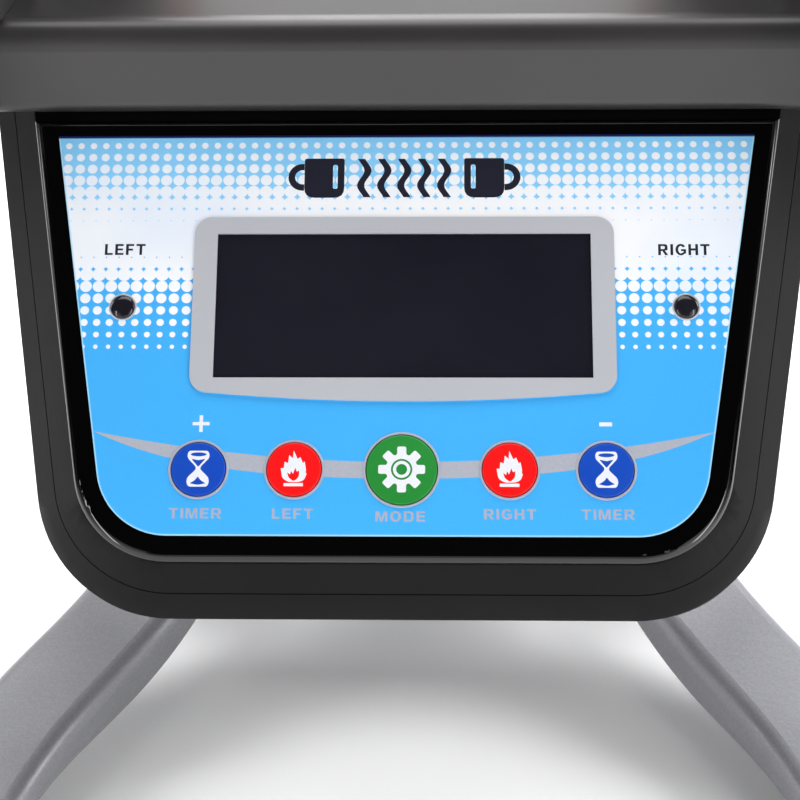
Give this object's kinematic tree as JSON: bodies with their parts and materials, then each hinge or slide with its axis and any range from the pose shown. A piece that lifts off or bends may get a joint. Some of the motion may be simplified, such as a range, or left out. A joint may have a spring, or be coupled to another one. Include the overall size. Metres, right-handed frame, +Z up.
{
  "type": "two-station mug heat press",
  "caption": "Bench heat press for mugs: sloping blue control panel on a dark case, splayed grey legs, and two lever-closed wrap heaters on a deck.",
  "frame": {"origin": "centre of the footprint, on the surface the rubber feet stand on", "axes": "+X to the operator's right, +Y to the back, +Z up; the control panel faces -Y and +Z"},
  "size_m": [0.344, 0.2534, 0.3214],
  "materials": {
    "cast_grey": "satin, light cast texture",
    "case_black": "fine matte texture",
    "fascia_black": "polished",
    "printed_film": "satin film, printed blue with halftone dots",
    "bezel_silver": "satin silver",
    "display_dark": "smooth dark lens",
    "lamp_dark": "dark lens",
    "key_blue": "satin",
    "key_red": "satin",
    "key_green": "satin",
    "ring_grey": "satin",
    "board_green": "solder mask",
    "part_black": "moulded",
    "rocker_red": "moulded",
    "core_steel": "laminated",
    "rubber_black": "matte",
    "bright_steel": "turned",
    "heater_silicone": "smooth silicone",
    "felt_white": "ceramic felt",
    "shell_steel": "brushed",
    "bracket_black": "powder coat",
    "lever_steel": "satin",
    "grip_black": "moulded grip",
    "wheel_black": "knurled"
  },
  "bodies": {
    "machine": {"deck": "cast_grey", "leg_front_left": "cast_grey", "leg_front_right": "cast_grey", "leg_rear_left": "cast_grey", "leg_rear_right": "cast_grey", "base_hub": "cast_grey", "column": "cast_grey", "rear_cover": "cast_grey", "case_upper": "case_black", "case_lower": "case_black", "fascia": "fascia_black", "overlay": "printed_film", "display_bezel": "bezel_silver", "display_window": "display_dark", "lamp_left": "lamp_dark", "lamp_right": "lamp_dark", "key_rings": "ring_grey", "control_board": "board_green", "power_board": "board_green", "display_module": "part_black", "tact_switches": "part_black", "power_inlet": "part_black", "fuse_drawer": "part_black", "transformer": "core_steel", "rubber_feet": "rubber_black", "hinge_pins": "bright_steel", "lever_pins": "bright_steel", "cap_screws": "bright_steel", "leg_bolts": "bright_steel", "rear_heater_left": "heater_silicone", "rear_felt_left": "felt_white", "rear_shell_left": "shell_steel", "cradle_left": "bracket_black", "lever_bracket_left": "bracket_black", "rear_heater_right": "heater_silicone", "rear_felt_right": "felt_white", "rear_shell_right": "shell_steel", "cradle_right": "bracket_black", "lever_bracket_right": "bracket_black"},
    "key_time_up": {"key_time_up": "key_blue"},
    "key_heat_left": {"key_heat_left": "key_red"},
    "key_mode": {"key_mode": "key_green"},
    "key_heat_right": {"key_heat_right": "key_red"},
    "key_time_down": {"key_time_down": "key_blue"},
    "rocker_switch": {"rocker_switch": "rocker_red"},
    "lever_left": {"lever_left": "lever_steel", "lever_grip_left": "grip_black"},
    "jaw_left": {"jaw_shell_left": "shell_steel", "jaw_felt_left": "felt_white", "jaw_heater_left": "heater_silicone"},
    "wheel_left": {"pressure_wheel_left": "wheel_black"},
    "pad_left": {"pressure_pad_left": "bright_steel"},
    "lever_right": {"lever_right": "lever_steel", "lever_grip_right": "grip_black"},
    "jaw_right": {"jaw_shell_right": "shell_steel", "jaw_felt_right": "felt_white", "jaw_heater_right": "heater_silicone"},
    "wheel_right": {"pressure_wheel_right": "wheel_black"},
    "pad_right": {"pressure_pad_right": "bright_steel"}
  },
  "joints": [
    {"name": "key_time_up_press", "type": "slide", "parent": "machine", "child": "key_time_up", "axis": [0, 0.7071, -0.7071], "range_m": [0, 0.0005], "stiffness_N_per_m": 900, "springref_m": -0.0006},
    {"name": "key_heat_left_press", "type": "slide", "parent": "machine", "child": "key_heat_left", "axis": [0, 0.7071, -0.7071], "range_m": [0, 0.0005], "stiffness_N_per_m": 900, "springref_m": -0.0006},
    {"name": "key_mode_press", "type": "slide", "parent": "machine", "child": "key_mode", "axis": [0, 0.7071, -0.7071], "range_m": [0, 0.0005], "stiffness_N_per_m": 900, "springref_m": -0.0006},
    {"name": "key_heat_right_press", "type": "slide", "parent": "machine", "child": "key_heat_right", "axis": [0, 0.7071, -0.7071], "range_m": [0, 0.0005], "stiffness_N_per_m": 900, "springref_m": -0.0006},
    {"name": "key_time_down_press", "type": "slide", "parent": "machine", "child": "key_time_down", "axis": [0, 0.7071, -0.7071], "range_m": [0, 0.0005], "stiffness_N_per_m": 900, "springref_m": -0.0006},
    {"name": "rocker_rock", "type": "hinge", "parent": "machine", "child": "rocker_switch", "pos_m": [0, 0.056, 0.118], "axis": [1, 0, 0], "range_deg": [0, 18]},
    {"name": "lever_left_swing", "type": "hinge", "parent": "machine", "child": "lever_left", "pos_m": [-0.112, -0.0665, 0.2752], "axis": [-1, 0, 0], "range_deg": [0, 90]},
    {"name": "jaw_left_open", "type": "hinge", "parent": "machine", "child": "jaw_left", "pos_m": [-0.112, 0.02, 0.2192], "axis": [1, 0, 0], "range_deg": [0, 12]},
    {"name": "wheel_left_turn", "type": "hinge", "parent": "jaw_left", "child": "wheel_left", "pos_m": [-0.112, -0.0354, 0.2752], "axis": [0, 1, 0], "range_deg": [0, 720]},
    {"name": "pad_left_travel", "type": "slide", "parent": "jaw_left", "child": "pad_left", "axis": [0, 1, 0], "range_m": [0, 0.0025]},
    {"name": "lever_right_swing", "type": "hinge", "parent": "machine", "child": "lever_right", "pos_m": [0.112, -0.0665, 0.2752], "axis": [-1, 0, 0], "range_deg": [0, 90]},
    {"name": "jaw_right_open", "type": "hinge", "parent": "machine", "child": "jaw_right", "pos_m": [0.112, 0.02, 0.2192], "axis": [1, 0, 0], "range_deg": [0, 12]},
    {"name": "wheel_right_turn", "type": "hinge", "parent": "jaw_right", "child": "wheel_right", "pos_m": [0.112, -0.0354, 0.2752], "axis": [0, 1, 0], "range_deg": [0, 720]},
    {"name": "pad_right_travel", "type": "slide", "parent": "jaw_right", "child": "pad_right", "axis": [0, 1, 0], "range_m": [0, 0.0025]}
  ],
  "couplings": [
    {"joint": "jaw_left_open", "follows": "lever_left_swing", "ratio": 0.13333},
    {"joint": "wheel_left_turn", "follows": "pad_left_travel", "rad_per_m": 5026.5},
    {"joint": "jaw_right_open", "follows": "lever_right_swing", "ratio": 0.13333},
    {"joint": "wheel_right_turn", "follows": "pad_right_travel", "rad_per_m": 5026.5}
  ]
}
